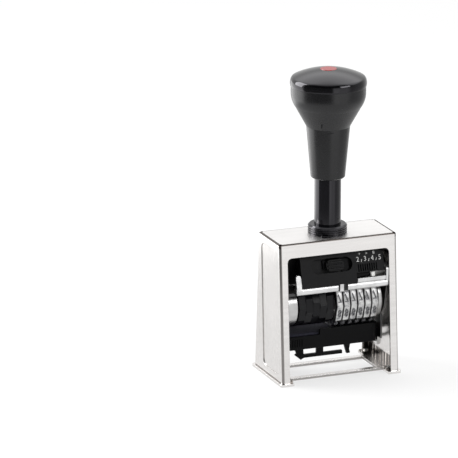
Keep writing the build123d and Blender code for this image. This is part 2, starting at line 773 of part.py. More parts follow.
def make_selector_button():
    """The sliding thumb button, with three ridges across it."""
    low, high = pocket_mid_z - button_height / 2, pocket_mid_z + button_height / 2
    x0, x1 = button_x - button_width / 2, button_x + button_width / 2
    button = slope_box(x0, x1, -button_proud, cover_sheet + run_gap, low, high)
    through = [e for e in button.edges() if cover_sheet < e.length < 2 * cover_sheet + run_gap
               and abs(e.tangent_at(0.5).Z) < 0.5]
    button = fillet(through, button_corner)
    for i in range(button_ridges):
        z = low + ridge_inset + i * ridge_pitch
        button = button + slope_box(x0 + ridge_inset, x1 - ridge_inset, -button_proud - ridge_height,
                                    -button_proud, z, z + ridge_inset)
    return button


def make_selector_strip():
    """The strip behind the cover that joins the button to the pointer."""
    depth = cover_sheet + run_gap
    low = pocket_mid_z - strip_half
    strip = slope_box(button_x - button_width / 2 - 1, cover_step_x - 3, depth, depth + strip_sheet,
                      low, pocket_mid_z + strip_half)
    tail = slope_box(cover_step_x - 6.5, pointer_x + pointer_width / 2, depth, depth + strip_sheet,
                     pointer_low, low)
    return strip + tail


def make_selector_pointer():
    half = pointer_width / 2
    return slope_box(pointer_x - half, pointer_x + half, pad_fit, cover_sheet + run_gap,
                     pointer_low, cover_step_z - run_gap)


def make_detent_comb():
    """Leaf springs that steady the wheels from the front, behind the bar."""
    face = bar_back + seat_fit
    strip_foot = bar_top - leaf_strip
    comb = box(wheels_left, wheels_right, face, face + leaf_sheet, strip_foot, bar_top)
    leaf = [(face, strip_foot), (face + leaf_sheet, strip_foot), (face + leaf_sheet, bar_top - 2.6),
            (face + 1.45, bar_top - 3.35), (face + 1.25, bar_top - 3.65), (face, bar_top - 2.8)]
    for i in range(wheel_count):
        left = wheels_left + i * wheel_pitch + ratchet_step + leaf_inset
        comb = comb + side_plate(leaf, left, left + wheel_rim - 2 * leaf_inset)
    return comb


# ---- advance pawls ----
def make_pawl_bail():
    """A sleeve on the tie rod, as long as the train of wheels."""
    sleeve = rod_x_axis(wheels_left, wheels_right, pawl_pivot_y, pawl_pivot_z, pawl_sleeve)
    return sleeve - bore_x_axis(pawl_pivot_y, pawl_pivot_z, screw_radius + shaft_fit)


def make_pawls():
    """Six sprung fingers that hang from the sleeve behind the wheels."""
    reach = hypot(pawl_tip_y - pawl_pivot_y, pawl_tip_z - pawl_pivot_z)
    turn = degrees(atan2(pawl_tip_z - pawl_pivot_z, pawl_tip_y - pawl_pivot_y))
    finger = Pos(0, reach / 2, 0) * Box(pawl_width, reach, pawl_sheet)
    nose = Pos(0, reach - pawl_nose / 2, -pawl_sheet / 2) * Box(pawl_width, pawl_nose, pawl_nose)
    finger = Rot(turn, 0, 0) * (finger + nose)
    fingers = []
    for i in range(wheel_count):
        middle = wheels_left + i * wheel_pitch + ratchet_step + wheel_rim / 2
        placed = Pos(middle, pawl_pivot_y, pawl_pivot_z) * finger
        fingers.append(placed - bore_x_axis(pawl_pivot_y, pawl_pivot_z, pawl_sleeve))
    return Compound(fingers)


# ---- ink pad ----
def cam_track(steps=8):
    """Places of the fixed pin as the swinging arm sees it, from rest to full stroke."""
    track = []
    for i in range(steps + 1):
        travel = stroke * i / steps
        turn = pi / 2 * i / steps
        dy, dz = cam_pin_y, cam_pin_z - axle_height + travel
        track.append((dy * cos(turn) + dz * sin(turn), axle_height - dy * sin(turn) + dz * cos(turn)))
    return track


def along_track(x0, x1, radius):
    """A band of a given half width that follows the cam track, with round ends."""
    track = cam_track()
    band = None
    for (ya, za), (yb, zb) in zip(track[:-1], track[1:]):
        turn = degrees(atan2(zb - za, yb - ya))
        link = Rot(turn, 0, 0) * Box(x1 - x0, hypot(yb - ya, zb - za), 2 * radius)
        link = Pos((x0 + x1) / 2, (ya + yb) / 2, (za + zb) / 2) * link
        link = link + rod_x_axis(x0, x1, ya, za, radius) + rod_x_axis(x0, x1, yb, zb, radius)
        band = link if band is None else band + link
    return band


def make_pad_arm(side):
    """An arm that hangs on the axle beside the wheels, carries the tray and is steered by the cam slot."""
    x0, x1 = arm_inner, arm_inner + arm_thickness
    foot = axle_height - tray_radius + web_foot_rise
    web = side_plate([(-arm_hub_radius, axle_height), (arm_hub_radius, axle_height), cam_track()[0],
                      (web_foot_back, foot), (web_foot_front, foot + 0.8), (web_foot_front - 0.2, tray_lip)], x0, x1)
    arm = rod_x_axis(x0, x1, 0, axle_height, arm_hub_radius) + web + along_track(x0, x1, cam_slot_radius + cam_rim)
    arm = arm - along_track(x0 - 1, x1 + 1, cam_slot_radius)
    return on_side(arm - bore_x_axis(0, axle_height, axle_radius + shaft_fit), side)


def make_tray():
    """A moulded tray whose underside is round about the axle, so that it swings clear of the desk."""
    underside = bore_x_axis(0, axle_height, tray_radius)
    tray = box(tray_left, tray_right, -tray_front, tray_front, 0, tray_lip) & underside
    lugs = box(tray_right - 1, arm_inner - seat_fit, -tray_lug_half, tray_lug_half, tray_lug_low, tray_lug_high) \
        + box(-arm_inner + seat_fit, tray_left + 1, -tray_lug_half, tray_lug_half, tray_lug_low, tray_lug_high)
    tray = tray + (lugs & underside)
    ends = [e for e in tray.edges().filter_by(Axis.Z)
            if e.center().X > tray_right - 0.1 and abs(e.center().Y) > tray_front - 0.1]
    tray = fillet(ends, tray_corner)
    tray = tray - box(tray_left + tray_wall, tray_right - tray_wall, tray_wall - tray_front, tray_front - tray_wall,
                      pad_floor, far)
    tray = tray - box(-far, tray_step_x, -far, tray_wall - tray_front, tray_step_z, far)
    for i in range(rib_count):
        x = tray_left + rib_inset + i * rib_pitch
        tray = tray + box(x, x + rib_width, -tray_front - rib_rise, -tray_front + 0.2, rib_low, rib_high)
    return tray


def make_ink_pad():
    inset = tray_wall + pad_fit
    return box(tray_left + inset, tray_right - inset, inset - tray_front, tray_front - inset, pad_floor, pad_face)


def make_pad_clip():
    """A thin bar with two hooks under the tray, by which the tray is pulled out for changing."""
    top = axle_height - tray_radius + 0.5
    bar_low, bar_high = pull_low + 0.8, pull_low + 2.4
    left_hook = [(0, top), (1.6, pull_low + 3.2), (0.7, pull_low + 2.4), (3.6, pull_low), (5.2, bar_low), (4.8, top)]
    right_hook = [(-3.8, top), (-2.0, pull_low + 0.5), (-0.3, pull_low + 0.7), (-0.8, pull_low + 2.6), (0, top)]
    post_x = (pull_left + pull_right) / 2 - 2.9
    outlines = [[(pull_left + x, z) for x, z in left_hook], [(pull_right + x, z) for x, z in right_hook],
                [(post_x, top), (post_x, bar_low), (post_x + 3.4, bar_low), (post_x + 3.4, top)],
                [(pull_left + 4.6, bar_low), (pull_right - 4.4, bar_low), (pull_right - 4.4, bar_high),
                 (pull_left + 4.6, bar_high)]]
    pieces = [extrude(Plane.XZ * make_face(Polyline(*outline, close=True)), amount=pull_thickness / 2, both=True)
              for outline in outlines]
    pull = pieces[0] + pieces[1:]
    return pull - bore_x_axis(0, axle_height, tray_radius)


# ---- write every piece ----
save(make_case(), "case_shell")
save(make_base(), "base_plate")
save(make_base_screws(), "base_screws")
save(make_collar(), "collar")
save(make_collar_nut(), "collar_nut")
save(make_bracket(-1), "guide_bracket_left")
save(make_bracket(1), "guide_bracket_right")
save(make_bracket_rivets(), "bracket_rivets")
save(make_guide_rods(), "guide_rods")
save(make_return_springs(), "return_springs")
save(make_cam_pins(), "cam_pins")
save(make_stem(), "stem")
save(make_grip(), "grip")
save(make_knob_cap(), "knob_cap")
save(make_knob_inlay(), "knob_inlay")
save(make_handle_screw(), "handle_screw")
save(make_block(), "carriage_block")
save(make_stem_pin(), "stem_pin")
save(make_stop_washer(), "stop_washer")
save(make_cheek(-1), "cheek_left")
save(make_cheek(1), "cheek_right")
save(make_cheek_screws(), "cheek_screws")
save(make_tie_rod(), "tie_rod")
save(make_axle(), "wheel_axle")
save(make_axle_clips(), "axle_clips")
save(make_end_disc(hub_disc_left, hub_disc_right, hub_disc_radius), "end_disc_left")
save(make_end_disc(end_disc_right - end_disc_thickness, end_disc_right, end_disc_radius), "end_disc_right")
save(make_blank_rings(), "blank_rings")
save(make_frame_bar(), "frame_bar")
save(make_front_cover(), "front_cover")
save(make_detent_comb(), "detent_comb")
save(make_selector_button(), "selector_button")
save(make_selector_strip(), "selector_strip")
save(make_selector_pointer(), "selector_pointer")
save(make_pawl_bail(), "pawl_sleeve")
save(make_pawls(), "pawl_fingers")
save(make_tray(), "pad_tray")
save(make_ink_pad(), "ink_pad")
save(make_pad_arm(-1), "pad_arm_left")
save(make_pad_arm(1), "pad_arm_right")
save(make_pad_clip(), "pad_clip")
for wheel in range(wheel_count):
    save(make_number_wheel(wheel), f"number_wheel_{wheel + 1}")
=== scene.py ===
import json
import math
import bpy
import bmesh
from mathutils import Matrix, Vector

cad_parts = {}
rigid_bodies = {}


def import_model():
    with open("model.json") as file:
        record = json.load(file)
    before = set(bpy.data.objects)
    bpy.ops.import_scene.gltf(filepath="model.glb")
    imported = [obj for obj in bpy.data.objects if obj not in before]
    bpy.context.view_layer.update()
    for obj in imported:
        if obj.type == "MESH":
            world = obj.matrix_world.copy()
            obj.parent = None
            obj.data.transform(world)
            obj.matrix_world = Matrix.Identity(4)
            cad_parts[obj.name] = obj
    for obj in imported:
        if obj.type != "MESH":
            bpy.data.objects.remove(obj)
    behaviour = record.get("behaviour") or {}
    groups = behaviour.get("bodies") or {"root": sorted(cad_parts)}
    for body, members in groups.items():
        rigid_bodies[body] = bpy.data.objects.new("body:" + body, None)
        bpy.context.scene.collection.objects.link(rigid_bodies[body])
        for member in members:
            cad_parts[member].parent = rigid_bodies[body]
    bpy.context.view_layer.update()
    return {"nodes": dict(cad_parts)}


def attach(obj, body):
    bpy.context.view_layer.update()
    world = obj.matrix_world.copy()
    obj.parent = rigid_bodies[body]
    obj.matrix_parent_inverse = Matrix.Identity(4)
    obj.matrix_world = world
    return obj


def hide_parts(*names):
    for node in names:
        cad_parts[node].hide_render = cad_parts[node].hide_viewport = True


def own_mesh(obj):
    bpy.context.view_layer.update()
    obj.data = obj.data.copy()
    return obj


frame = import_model()
nodes = frame["nodes"]
mm = 0.001
print("frame loaded:", len(nodes), "nodes")


# Shader expressions
class Wire:
    # one output of a material's nodes; arithmetic on it adds Math nodes
    def __init__(self, paint, socket):
        self.paint, self.socket = paint, socket

    def math(self, operation, *others):
        return self.paint.node("ShaderNodeMath", {"operation": operation}, [self, *others])

    def __add__(self, other): return self.math("ADD", other)
    def __radd__(self, other): return self.math("ADD", other)
    def __sub__(self, other): return self.math("SUBTRACT", other)

    def __rsub__(self, other):
        return self.paint.node("ShaderNodeMath", {"operation": "SUBTRACT"}, [other, self])

    def __mul__(self, other): return self.math("MULTIPLY", other)
    def __truediv__(self, other): return self.math("DIVIDE", other)
    def __gt__(self, other): return self.math("GREATER_THAN", other)
    def __lt__(self, other): return self.math("LESS_THAN", other)
    def __abs__(self): return self.math("ABSOLUTE")


edgeRounding = {"samples": 6, "radius": 0.00022}    # metres; the small radius that light finds on every edge


class Paint:
    # a material under construction, with its Principled shader ready
    def __init__(self, name, **sockets):
        self.material = bpy.data.materials.new(name)
        self.material.use_nodes = True
        self.tree = self.material.node_tree
        self.shader = self.tree.nodes["Principled BSDF"]
        self.set(**sockets)

    def set(self, **sockets):
        for name, value in sockets.items():
            self.feed(self.shader.inputs[name.replace("_", " ")], value)
        return self

    def feed(self, target, value):
        if isinstance(value, Wire):
            self.tree.links.new(value.socket, target)
        elif isinstance(value, tuple) and len(value) == 3 and target.type == "RGBA":
            target.default_value = (*value, 1.0)
        else:
            target.default_value = value

    def node(self, kind, settings=None, values=None, out=0):
        made = self.tree.nodes.new(kind)
        for name, value in (settings or {}).items():
            if name == "stops":
                self.stops(made.color_ramp, value)
            else:
                setattr(made, name, value)
        pairs = values.items() if isinstance(values, dict) else enumerate(values or [])
        for name, value in pairs:
            self.feed(made.inputs[name], value)
        return Wire(self, made.outputs[out])

    def stops(self, ramp, stops):
        # stops are (place, colour) or (place, grey)
        while len(ramp.elements) < len(stops):
            ramp.elements.new(0.5)
        for element, (place, colour) in zip(ramp.elements, stops):
            element.position = place
            element.color = (*(colour if isinstance(colour, tuple) else (colour,) * 3), 1.0)

    def noise(self, scale, stretch, detail, rough):
        coords = self.node("ShaderNodeTexCoord", out="Object")
        placed = self.node("ShaderNodeMapping", None, {"Vector": coords, "Scale": stretch})
        return self.node("ShaderNodeTexNoise", None, {
            "Vector": placed, "Scale": scale, "Detail": detail, "Roughness": rough})

    def ramp(self, value, stops):
        return self.node("ShaderNodeValToRGB", {"stops": stops}, [value])

    def mix(self, factor, first, second):
        return self.node("ShaderNodeMix", {"data_type": "RGBA"}, {0: factor, 6: first, 7: second}, out=2)

    def bump(self, height, strength, depth):
        # fine relief over edges that are slightly rounded
        soft = self.node("ShaderNodeBevel", {"samples": edgeRounding["samples"]},
                         {"Radius": edgeRounding["radius"]})
        return self.node("ShaderNodeBump", None,
                         {"Strength": strength, "Distance": depth, "Height": height, "Normal": soft})

    def spot(self, coords="Object"):
        # x, y and z of the point that is shaded
        found = self.node("ShaderNodeTexCoord", out=coords)
        return [self.node("ShaderNodeSeparateXYZ", None, [found], out=axis) for axis in range(3)]

    def within(self, low, high):
        # 1 inside a box given by two corners in metres
        inside = None
        for value, least, most in zip(self.spot(), low, high):
            kept = (value > least) * (value < most)
            inside = kept if inside is None else inside * kept
        return inside

    def ease(self, value, start, end, least=0.0, most=1.0):
        # least where value is at start, most where it is at end
        return self.node("ShaderNodeMapRange", {"interpolation_type": "SMOOTHSTEP"},
                         [value, start, end, least, most])


# Camera, lamps, room and floor
viewpoint = {
    "aim": (0.0, 0.0, 0.075),
    "distance": 2.0,
    "turn": 23.10,        # degrees from straight in front, towards -X
    "height": 16.01,      # degrees above level
    "roll": 0.41,
    "lens": 332.8,        # mm, on a sensor of this width
    "sensor": 36,
    "pixels": 458,        # across the frame
    "aimPixel": (98.5, 11.1),    # where the aim lands, right of and above the middle of the frame
    "clip": (0.05, 20),
}


def placeCamera():
    turn, height, roll = (math.radians(viewpoint[key]) for key in ("turn", "height", "roll"))
    back = Vector((-math.sin(turn) * math.cos(height), -math.cos(turn) * math.cos(height), math.sin(height)))
    level = Vector((math.cos(turn), -math.sin(turn), 0))
    rise = back.cross(level)
    right = level * math.cos(roll) + rise * math.sin(roll)
    up = rise * math.cos(roll) - level * math.sin(roll)
    spot = Vector(viewpoint["aim"]) + back * viewpoint["distance"]
    pose = Matrix((right, up, back)).transposed().to_4x4()
    focal = viewpoint["lens"] / viewpoint["sensor"] * viewpoint["pixels"]
    pan, tilt = (math.atan(pixels / focal) for pixels in viewpoint["aimPixel"])
    pose = pose @ Matrix.Rotation(pan, 4, "Y") @ Matrix.Rotation(-tilt, 4, "X")
    data = bpy.data.cameras.new("camera")
    data.lens, data.sensor_width = viewpoint["lens"], viewpoint["sensor"]
    data.clip_start, data.clip_end = viewpoint["clip"]
    camera = bpy.data.objects.new("camera", data)
    camera.matrix_world = Matrix.Translation(spot) @ pose
    bpy.context.collection.objects.link(camera)
    bpy.context.scene.camera = camera


lamps = {                # place, what it faces, width and height, power in watts, seen in gloss or not
    "leftSoftbox": ((-0.90, 0.60, 0.56), (0, 0, 0.10), (0.70, 1.00), 15.0, True),
    "rightSoftbox": ((0.53, -0.84, 0.66), (0, 0, 0.12), (0.58, 0.38), 3.3, True),
    "topSoftbox": ((0.05, 0.25, 1.25), (0, 0, 0.07), (0.6, 0.6), 3.6, False),
}


def placeLamps():
    for name, (spot, faced, size, power, mirrored) in lamps.items():
        data = bpy.data.lights.new(name, "AREA")
        data.shape, data.energy = "RECTANGLE", power
        data.size, data.size_y = size
        lamp = bpy.data.objects.new(name, data)
        aim = (Vector(faced) - Vector(spot)).to_track_quat("-Z", "Y")
        lamp.matrix_world = Matrix.Translation(spot) @ aim.to_matrix().to_4x4()
        lamp.visible_glossy = mirrored
        bpy.context.collection.objects.link(lamp)


room = {                 # brightness of the room, as each kind of ray meets it
    "seen": 1.0, "scattered": 0.62, "overhead": 0.95, "behind": 1.95, "brightest": 1.05, "shade": 0.05,
    "viewer": (-0.392, -0.920), "ahead": (-0.1, 0.4),    # the viewer's side, and what counts as it
    # where each tone comes in and is complete, as shares of straight up
    "shadeHeight": (0.12, 0.50), "behindHeight": (0.34, 0.64), "overheadHeight": (0.82, 0.97),
    # low down, round from behind the stamp by its left, the viewer's side and its right, as shares of a turn
    "round": [(0.0, 0.80), (0.07, 0.95), (0.09, 2.5), (0.262, 2.5), (0.288, 0.14), (0.53, 0.14), (0.55, 1.2),
              (0.58, 1.2), (0.60, 0.95), (0.66, 0.95), (0.70, 0.40), (0.83, 0.5), (0.90, 0.85), (1.0, 0.80)],
    "rampTop": 3.0,       # the ramp's tones are stored as shares of this
}


def roomTone(paint, x, y):
    # (brightness low down in direction x, y; how far that direction is towards the viewer)
    facing, level = room["viewer"]
    towards, across = x * facing + y * level, y * facing - x * level
    share = across.math("ARCTAN2", towards) / (2 * math.pi) + 0.5
    stops = [(place, tone / room["rampTop"]) for place, tone in room["round"]]
    return paint.ramp(share, stops) * room["rampTop"], towards


def placeWorld():
    world = bpy.data.worlds.new("studio")
    world.use_nodes = True
    bpy.context.scene.world = world
    paint = Paint.__new__(Paint)
    paint.tree = world.node_tree
    background = paint.tree.nodes["Background"]
    camera, glossy, through = (paint.node("ShaderNodeLightPath", out=f"Is {kind} Ray")
                               for kind in ("Camera", "Glossy", "Transmission"))
    x, y, z = paint.spot("Generated")
    low, towards = roomTone(paint, x, y)
    ahead = paint.ease(towards, *room["ahead"])
    shaded = paint.ease(z, *room["shadeHeight"]) * ahead
    high = paint.ease(z, *room["overheadHeight"])
    low = low.math("MINIMUM", room["brightest"])
    rear = paint.ease(z, *room["behindHeight"]) * (1.0 - ahead)
    low = low + rear * (room["behind"] - low)
    around = low + shaded * (room["shade"] - low)
    mirrored = around + high * (room["overhead"] - around)
    plain = camera.math("MAXIMUM", through)
    strength = plain * room["seen"] + glossy * mirrored + (1.0 - plain - glossy) * room["scattered"]
    paint.feed(background.inputs["Strength"], strength)
    background.inputs["Color"].default_value = (1.0, 1.0, 1.0, 1.0)


floorSheet = {           # metres
    "half": 3.0, "tone": (0.93, 0.93, 0.93), "rough": 0.8, "gloss": 0.1,
    "shine": 0.84, "shineGivesWay": (0.23, 0.29),    # its brightness in gloss, and where the room takes over
    "litShare": 0.65, "litFully": (0.4, 1.0),        # of white nearby, and where it starts and ends its rise
    "mirroredShare": 0.95,
}


def placeFloor(sizes):
    half = sizes["half"]
    corners = [(-half, -half, 0), (half, -half, 0), (half, half, 0), (-half, half, 0)]
    mesh = bpy.data.meshes.new("floor")
    mesh.from_pydata(corners, [], [(0, 1, 2, 3)])
    floor = bpy.data.objects.new("floor", mesh)
    bpy.context.collection.objects.link(floor)
    paint = Paint("paleFloor", Base_Color=sizes["tone"], Roughness=sizes["rough"],
                  Specular_IOR_Level=sizes["gloss"])
    seen = paint.node("ShaderNodeLightPath", out="Is Camera Ray")
    mirrored = paint.node("ShaderNodeLightPath", out="Is Glossy Ray")
    x, y = paint.spot()[:2]
    tone = roomTone(paint, x, y)[0]
    reach = (x * x + y * y).math("SQRT")
    away = paint.ease(reach, *sizes["shineGivesWay"])
    lit = paint.ease(reach, *sizes["litFully"], sizes["litShare"])
    shine = sizes["shine"] + away * (tone - sizes["shine"])
    glow = paint.node("ShaderNodeEmission", None,
                      {"Color": (1.0, 1.0, 1.0), "Strength": seen + mirrored * shine})
    blend = paint.tree.nodes.new("ShaderNodeMixShader")
    paint.feed(blend.inputs[0], seen * lit + mirrored * sizes["mirroredShare"])
    paint.tree.links.new(paint.shader.outputs[0], blend.inputs[1])
    paint.tree.links.new(glow.socket, blend.inputs[2])
    paint.tree.links.new(blend.outputs[0], paint.tree.nodes["Material Output"].inputs["Surface"])
    mesh.materials.append(paint.material)


placeCamera()
placeLamps()
placeWorld()
placeFloor(floorSheet)
bpy.context.scene.view_settings.view_transform = "Standard"
print("camera, lamps and floor placed")


# Materials
grains = {               # noise scale, stretch, detail and roughness
    "streaks": (520, 4.0, 0.6),          # stretched along each sheet's own direction
    "cloud": (38, (1, 1, 1), 3.0, 0.5), "drips": (560, (1, 1, 0.06), 3.0, 0.55),
    "film": (60, (1, 1, 0.6), 4.0, 0.6), "dust": (900, (1, 1, 1), 2.0, 0.5),
    "pebble": (2600, (1, 1, 1), 2.0, 0.6), "wear": (90, (1, 1, 1), 4.0, 0.6),
    "mottle": (240, (1, 1, 1), 4.0, 0.6), "sand": (2400, (1, 1, 1), 2.0, 0.5),
    "smear": (420, (1, 1, 1), 4.0, 0.65), "turning": (3000, (0.2, 1, 1), 2.0, 0.5),
    "fibre": (1500, (1, 1, 0.3), 5.0, 0.7), "paint": (1200, (1, 1, 1), 3.0, 0.6),
}
reliefs = {              # strength, and depth in metres
    "plate": (0.10, 0.00002), "gloss": (0.04, 0.0002), "cast": (0.18, 0.00002), "wheel": (0.2, 0.00002),
    "paint": (0.1, 0.00003), "felt": (0.8, 0.0001),
}
pebbleDepth = 0.00003

caseFolds = {            # metres; where the sheet is folded, how wide each painted shade line is, and how strong
    "half": 0.030, "top": 0.0681, "footFront": 0.0176, "lean": 0.06755, "edge": 0.00008,
    "corner": (0.00135, 0.00075), "cornerRight": (0.00075, 0.00075), "cornerShare": 0.72,
    "head": (0.0006, 0.0010), "seam": (0.0005, 0.00130), "headShare": 0.94, "lineEnds": (1.1, 0.75),
    "relief": 0.0018, "panel": (0.00004, 0.00031), "panelMargin": 0.0020, "panelShare": 0.55,
    "footLine": (0.00175, 0.0013, 0.0009), "footShare": 0.8,    # height, depth and distance from the side
    # tone of the painted shade and dark reflection laid along the folds, seams, notches, panel step and foot
    "line": (0.055, 0.042, 0.036),
    # the sheet's cut edges inside the window get a painted shade tone
    "inner": 0.0008, "innerFront": 0.00012, "cutDepth": 0.00088, "cutShadeTone": (0.06, 0.05, 0.045),
    # the inside is painted darker with soil drips and painted shade, evenly and more so below this height
    "darkerBelow": (0.0062 * 1.08, 0.0062 * 0.92), "lowDarkShare": 0.88, "shadeShare": 0.08,
    # the top face is painted greyer as shade, and made rougher
    "topShadeShare": 0.55, "topShadeTone": (0.74, 0.735, 0.73), "topRough": 0.16,
}


def foldMasks(paint, sizes):
    # (painted shade lines along the folds, inner side and cut edges, cut edges alone, height, top face)
    x, y, z = paint.spot()
    depth = sizes["footFront"] - z * sizes["lean"] - abs(y)
    side = sizes["half"] - abs(x)
    drop = sizes["top"] - z
    edge, rightward = sizes["edge"], x > 0
    gone, full = sizes["lineEnds"]
    lines = None
    # painted dark reflection down the front corners, painted shadow lines where the top meets the front and
    # the sides
    for one, two, widths, share in (
            (side, depth, sizes["corner"], (1.0 - rightward) * sizes["cornerShare"]),
            (side, depth, sizes["cornerRight"], rightward * sizes["cornerShare"]),
            (drop, depth, sizes["head"], sizes["headShare"]),
            (drop, side, sizes["seam"], sizes["headShare"])):
        first, second = (paint.ease(value, width * gone, width * full)
                         for value, width in zip((one, two), widths))
        line = first * second * share
        lines = line if lines is None else lines.math("MAXIMUM", line)
    # painted shade in the relief notches at the top front corners
    relief = (drop < sizes["relief"]) * (depth < sizes["relief"]) * (side < sizes["relief"]) * (depth > edge)
    lines = lines.math("MAXIMUM", relief * (side > edge))
    # painted shade along the step round each side panel
    near, far = sizes["panel"]
    step = (side > near) * (side < far) * (depth > sizes["panelMargin"]) * (drop > sizes["panelMargin"])
    lines = lines.math("MAXIMUM", step * sizes["panelShare"])
    # painted shadow line along the foot of each side
    footHeight, footDepth, footSide = sizes["footLine"]
    foot = (z < footHeight) * (depth > footDepth) * (side < footSide)
    lines = lines.math("MAXIMUM", foot * sizes["footShare"])
    inside = (depth > sizes["innerFront"]) * (side > sizes["inner"]) * (drop > sizes["inner"])
    return lines, inside, inside * (depth < sizes["cutDepth"]), z, drop < edge


# the base plate's cut edges round its openings, painted dark as shade
baseEdgeShade = {"x": 0.0244, "y": 0.0113, "thickness": 0.0012, "margin": 0.00010,    # metres
             "colour": (0.07, 0.06, 0.055), "share": 0.6}
plating = {
    "tones": [(0.3, (0.80, 0.78, 0.765)), (0.7, (0.92, 0.90, 0.885))], "streakShare": 0.6,
    # mottled dark tone for the inside of the case: soil drips and painted shade
    "soilAndShade": [(0.46, (0.035, 0.030, 0.026)), (0.54, (0.20, 0.17, 0.15)), (0.60, (0.80, 0.77, 0.74))],
    "rough": 0.14, "cloudRough": 0.10, "streakRough": 0.08,
}


def nickelPlate(name, stretch, folds=None, cutEdgeShade=None):
    # bright plated sheet, faintly drawn along one direction
    paint = Paint(name, Metallic=1.0)
    scale, detail, roughness = grains["streaks"]
    streaks = paint.noise(scale, stretch, detail, roughness)
    cloud = paint.noise(*grains["cloud"])
    share = plating["streakShare"]
    tone = paint.ramp(streaks * share + cloud * (1 - share), plating["tones"])
    rough = cloud * plating["cloudRough"] + streaks * plating["streakRough"] + plating["rough"]
    if folds:
        lines, inside, cutShade, z, top = foldMasks(paint, folds)
        # inside painted darker with soil drips and painted shade, darker towards the bottom
        soilAndShade = paint.ramp(paint.noise(*grains["drips"]), plating["soilAndShade"])
        low = paint.ease(z, *folds["darkerBelow"])
        tone = paint.mix(inside * (low * folds["lowDarkShare"] + folds["shadeShare"]), tone, soilAndShade)
        # painted shade on the sheet's cut edges
        tone = paint.mix(cutShade, tone, folds["cutShadeTone"])
        # painted shade on the top face
        tone = paint.mix(top * folds["topShadeShare"], tone, folds["topShadeTone"])
        # painted shade and dark reflection along the folds and seams
        tone = paint.mix(lines, tone, folds["line"])
        rough = rough + top * folds["topRough"]
    if cutEdgeShade:
        x, y, z = paint.spot()
        low, high = cutEdgeShade["margin"], cutEdgeShade["thickness"] - cutEdgeShade["margin"]
        around = (abs(x) < cutEdgeShade["x"]) * (abs(y) < cutEdgeShade["y"]) * (z > low) * (z < high)
        # painted shade on the base plate's cut edges round its openings
        tone = paint.mix(around * cutEdgeShade["share"], tone, cutEdgeShade["colour"])
    return paint.set(Base_Color=tone, Roughness=rough, Normal=paint.bump(streaks, *reliefs["plate"])).material


lacquer = {              # where dust comes in on its noise, and how strong
    "index": 1.5, "sheen": (0.95, 0.93, 1.0), "dust": [(0.78, 0.0), (0.86, 0.2)],
    "dustTone": (0.06, 0.06, 0.06), "rough": 0.05, "filmRough": 0.06,
}


def glossBlack(name, tint=(0.003, 0.003, 0.004)):
    # black under a film that is a little uneven and dusty
    paint = Paint(name, IOR=lacquer["index"], Specular_Tint=lacquer["sheen"])
    film = paint.noise(*grains["film"])
    speck = paint.ramp(paint.noise(*grains["dust"]), lacquer["dust"])
    colour = paint.mix(speck, tint, lacquer["dustTone"])
    return paint.set(Base_Color=colour, Roughness=film * lacquer["filmRough"] + lacquer["rough"],
                     Normal=paint.bump(film, *reliefs["gloss"])).material


moulded = {              # where wear comes in on its noise, and how strong; wornTone multiplies the tint
    "wear": [(0.42, 0.0), (0.75, 0.8)], "wornTone": 1.9, "wearRough": 0.14, "smoothing": 0.05,
}


def satinBlack(name, tint, rough, pebble, lustre=1.3):
    # moulded plastic with a fine spark-eroded grain
    paint = Paint(name, IOR=lustre)
    grain, wear = paint.noise(*grains["pebble"]), paint.noise(*grains["wear"])
    pale = tuple(c * moulded["wornTone"] for c in tint)
    colour = paint.mix(paint.ramp(wear, moulded["wear"]), tint, pale)
    return paint.set(Base_Color=colour,
                     Roughness=wear * moulded["wearRough"] + rough - moulded["smoothing"],
                     Normal=paint.bump(grain, pebble, pebbleDepth)).material


barShadows = [           # corners in metres, and tone: the fork's recess and the low tab on the left
    ((-0.0006, -0.0126, 0.0422), (0.0062, -0.0124, 0.0460), (0.05, 0.05, 0.05)),
    ((-0.0262, -0.0150, 0.0420), (-0.0211, -0.0100, 0.0437), (0.10, 0.10, 0.10)),
]


castMetal = {            # where the full tint comes in on the noise; darkTone multiplies it elsewhere
    "mottle": [(0.35, 0.0), (0.65, 1.0)], "darkTone": 0.82, "mottleRough": 0.16, "smoothing": 0.06,
}


def castSilver(name, tint, rough, shadows=()):
    paint = Paint(name, Metallic=1.0)
    mottle, fine = paint.noise(*grains["mottle"]), paint.noise(*grains["sand"])
    low = tuple(c * castMetal["darkTone"] for c in tint)
    colour = paint.mix(paint.ramp(mottle, castMetal["mottle"]), low, tint)
    for least, most, tone in shadows:
        colour = paint.mix(paint.within(least, most), colour, tone)
    return paint.set(Base_Color=colour,
                     Roughness=mottle * castMetal["mottleRough"] + rough - castMetal["smoothing"],
                     Normal=paint.bump(fine, *reliefs["cast"])).material


wheelMetal = {
    "smears": [(0.36, (0.24, 0.24, 0.25)), (0.47, (0.58, 0.58, 0.58)), (0.62, (0.74, 0.74, 0.735))],
    "rough": 0.2, "smearRough": 0.2,
}


def wheelSilver(name):
    # plated type wheels with smears of ink
    paint = Paint(name, Metallic=1.0)
    smear, fine = paint.noise(*grains["smear"]), paint.noise(*grains["turning"])
    return paint.set(Base_Color=paint.ramp(smear, wheelMetal["smears"]),
                     Roughness=smear * wheelMetal["smearRough"] + wheelMetal["rough"],
                     Normal=paint.bump(fine, *reliefs["wheel"])).material


enamel = {"darkTone": 0.8, "grainRough": 0.1}


def plainPaint(name, colour, rough, lustre=1.5):
    paint = Paint(name, IOR=lustre)
    grain = paint.noise(*grains["paint"])
    dark = tuple(c * enamel["darkTone"] for c in colour)
    return paint.set(Base_Color=paint.mix(grain, dark, colour),
                     Roughness=grain * enamel["grainRough"] + rough,
                     Normal=paint.bump(grain, *reliefs["paint"])).material


padFelt = {"rough": 0.95, "fibres": [(0.3, (0.004, 0.004, 0.008)), (0.7, (0.03, 0.03, 0.05))]}


def feltInk(name):
    paint = Paint(name, Roughness=padFelt["rough"])
    fibre = paint.noise(*grains["fibre"])
    colour = paint.ramp(fibre, padFelt["fibres"])
    return paint.set(Base_Color=colour, Normal=paint.bump(fibre, *reliefs["felt"])).material


